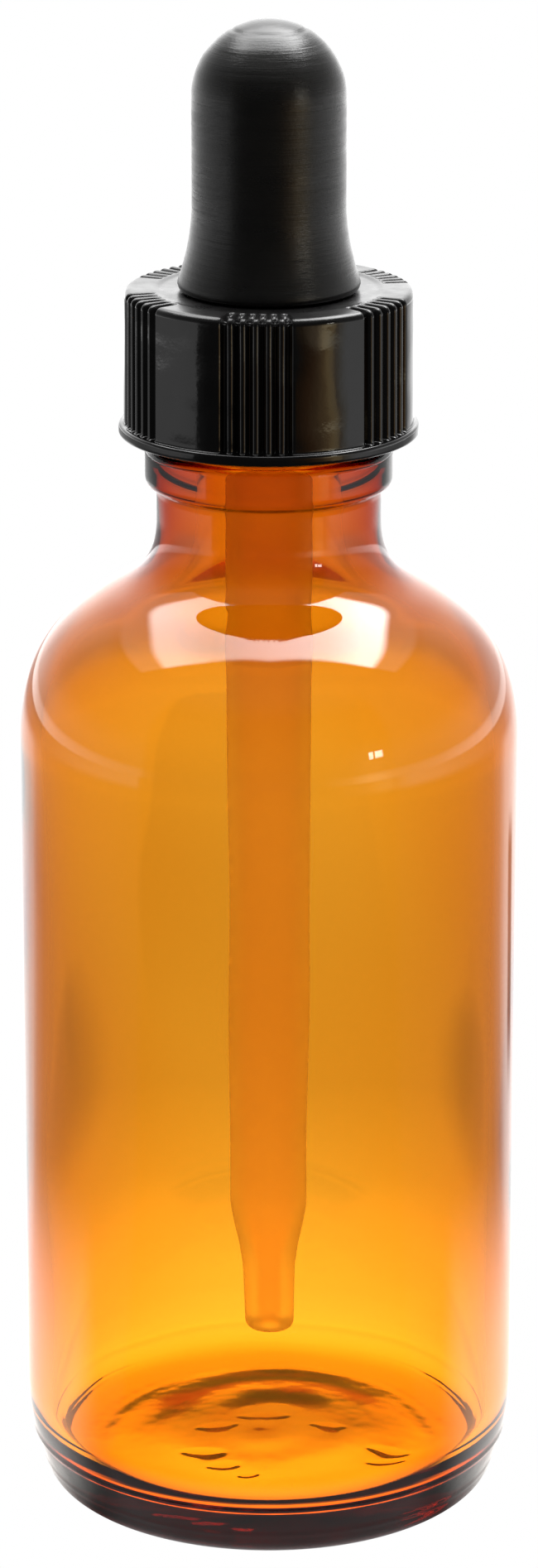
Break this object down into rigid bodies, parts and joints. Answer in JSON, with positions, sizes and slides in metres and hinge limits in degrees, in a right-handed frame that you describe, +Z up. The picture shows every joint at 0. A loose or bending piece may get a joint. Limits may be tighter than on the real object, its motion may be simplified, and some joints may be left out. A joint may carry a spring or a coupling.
{
  "type": "dropper bottle",
  "caption": "Round amber glass bottle with a ribbed black screw cap, a rubber squeeze bulb and a milky plastic pipette that unscrews and lifts out.",
  "frame": {"origin": "centre of the base, on the plane of the ring that the bottle stands on", "axes": "+Z up the bottle's axis; -Y is the front, where one group of cap grooves faces"},
  "size_m": [0.039, 0.039, 0.1186],
  "materials": {
    "amber_glass": "polished",
    "cap_plastic": "gloss",
    "bulb_rubber": "satin",
    "pipette_plastic": "satin, translucent"
  },
  "bodies": {
    "bottle": {"bottle": "amber_glass"},
    "dropper": {"pipette": "pipette_plastic"},
    "cap": {"cap": "cap_plastic"},
    "bulb": {"bulb": "bulb_rubber"}
  },
  "joints": [
    {"name": "dropper_lift", "type": "slide", "parent": "bottle", "child": "dropper", "axis": [0, 0, 1], "range_m": [0, 0.0889]},
    {"name": "cap_turn", "type": "hinge", "parent": "dropper", "child": "cap", "pos_m": [0, 0, 0.09], "axis": [0, 0, 1], "range_deg": [0, 10080]},
    {"name": "bulb_press", "type": "slide", "parent": "cap", "child": "bulb", "axis": [0, 0, -1], "range_m": [0, 0.005], "stiffness_N_per_m": 500, "deforming": ["bulb"]}
  ],
  "couplings": [
    {"joint": "dropper_lift", "follows": "cap_turn", "m_per_rad": 0.00050532}
  ]
}
